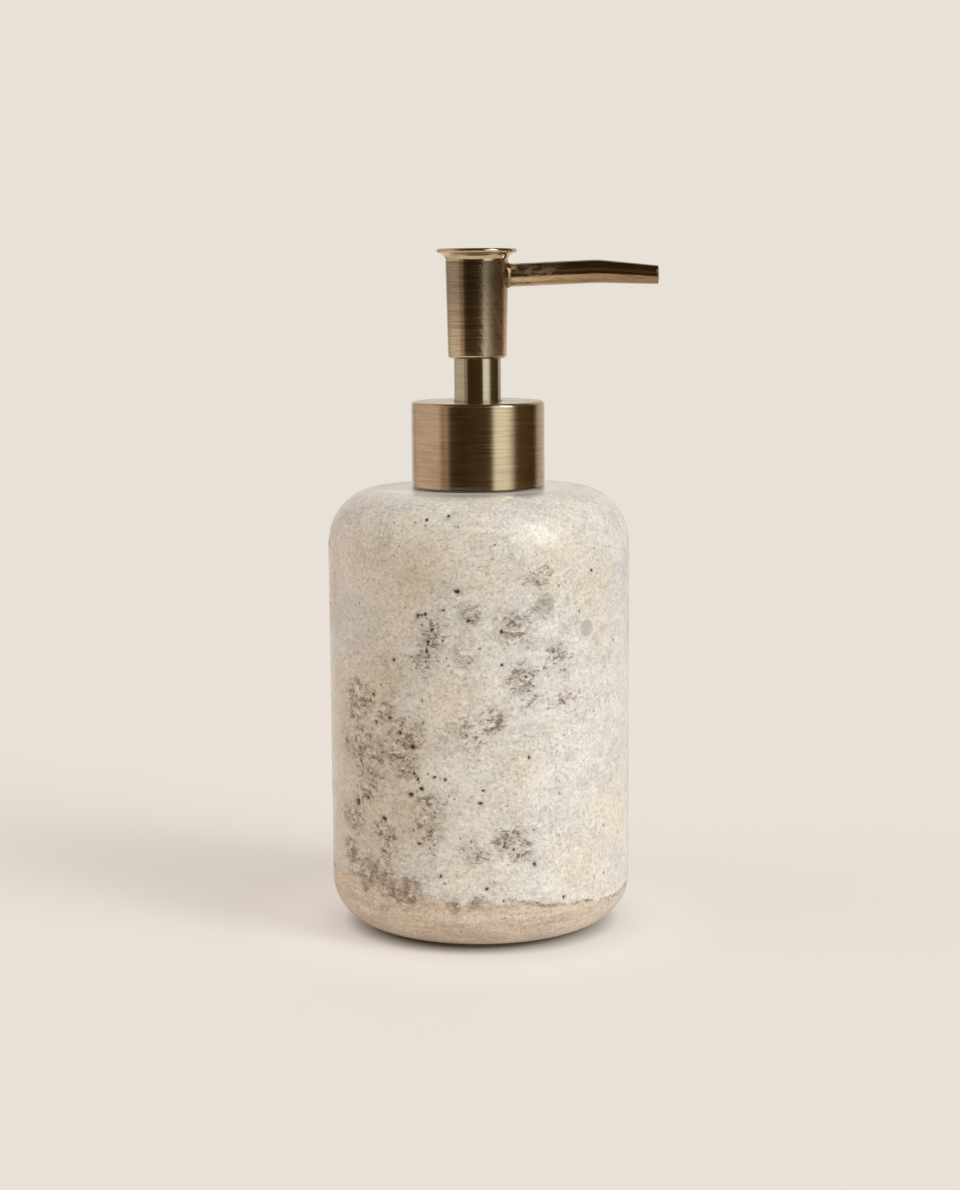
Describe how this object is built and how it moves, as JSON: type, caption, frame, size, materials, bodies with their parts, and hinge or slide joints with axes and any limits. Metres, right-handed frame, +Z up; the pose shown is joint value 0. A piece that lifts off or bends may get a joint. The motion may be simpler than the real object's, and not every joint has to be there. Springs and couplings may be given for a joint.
{
  "type": "soap pump dispenser",
  "caption": "Round stone soap dispenser with a screw-on brass-finished lotion pump: pressed, swivelled or unscrewed to refill.",
  "frame": {"origin": "centre of the round face that the dispenser stands on", "axes": "+Z up along the vessel's axis, +X towards the spout's tip, +Y square to both"},
  "size_m": [0.0821, 0.075, 0.1685],
  "materials": {
    "travertine": "polished travertine, clear sealed, cream with grey-brown porous clusters and a tan band at the foot",
    "travertine_plug": "sawn travertine",
    "pad_rubber": "matte foam rubber",
    "gasket_rubber": "matte",
    "brushed_brass": "antique brass, brushed and lacquered",
    "polished_brass": "antique brass, polished and lacquered",
    "white_moulding": "natural white polypropylene",
    "soft_seal": "natural polyethylene",
    "clear_tube": "translucent polyethylene",
    "spring_steel": "stainless spring wire",
    "ball_glass": "polished glass"
  },
  "bodies": {
    "vessel": {"stone_body": "travertine", "base_plug": "travertine_plug", "base_pad": "pad_rubber", "neck_insert": "white_moulding"},
    "pump_engine": {"pump_housing": "white_moulding", "chaplet": "white_moulding", "neck_gasket": "gasket_rubber", "dip_tube": "clear_tube", "return_spring": "spring_steel"},
    "collar": {"collar_shell": "brushed_brass", "screw_cap": "white_moulding"},
    "piston": {"piston_seal": "soft_seal", "spring_cup": "white_moulding"},
    "head": {"stem": "white_moulding", "neck_sleeve": "polished_brass", "actuator_insert": "white_moulding", "head_shell": "brushed_brass", "head_cap": "polished_brass", "spout_tube": "polished_brass", "spout_liner": "clear_tube"},
    "inlet_valve": {"inlet_ball": "ball_glass"},
    "outlet_valve": {"outlet_ball": "ball_glass"}
  },
  "joints": [
    {"name": "pump_lift", "type": "slide", "parent": "vessel", "child": "pump_engine", "axis": [0, 0, 1], "range_m": [0, 0.00635]},
    {"name": "collar_turn", "type": "hinge", "parent": "pump_engine", "child": "collar", "pos_m": [0, 0, 0.12], "axis": [0, 0, 1], "range_deg": [0, 540]},
    {"name": "head_press", "type": "slide", "parent": "pump_engine", "child": "piston", "axis": [0, 0, 1], "range_m": [-0.009, 0], "stiffness_N_per_m": 500, "springref_m": 0.01, "deforming": ["return_spring"]},
    {"name": "spout_swivel", "type": "hinge", "parent": "piston", "child": "head", "pos_m": [0, 0, 0.12], "axis": [0, 0, 1], "continuous": true},
    {"name": "inlet_ball_lift", "type": "slide", "parent": "pump_engine", "child": "inlet_valve", "axis": [0, 0, 1], "range_m": [0, 0.0012]},
    {"name": "outlet_ball_lift", "type": "slide", "parent": "head", "child": "outlet_valve", "axis": [0, 0, 1], "range_m": [0, 0.001]}
  ],
  "couplings": [
    {"joint": "pump_lift", "follows": "collar_turn", "m_per_rad": 0.00067323}
  ]
}
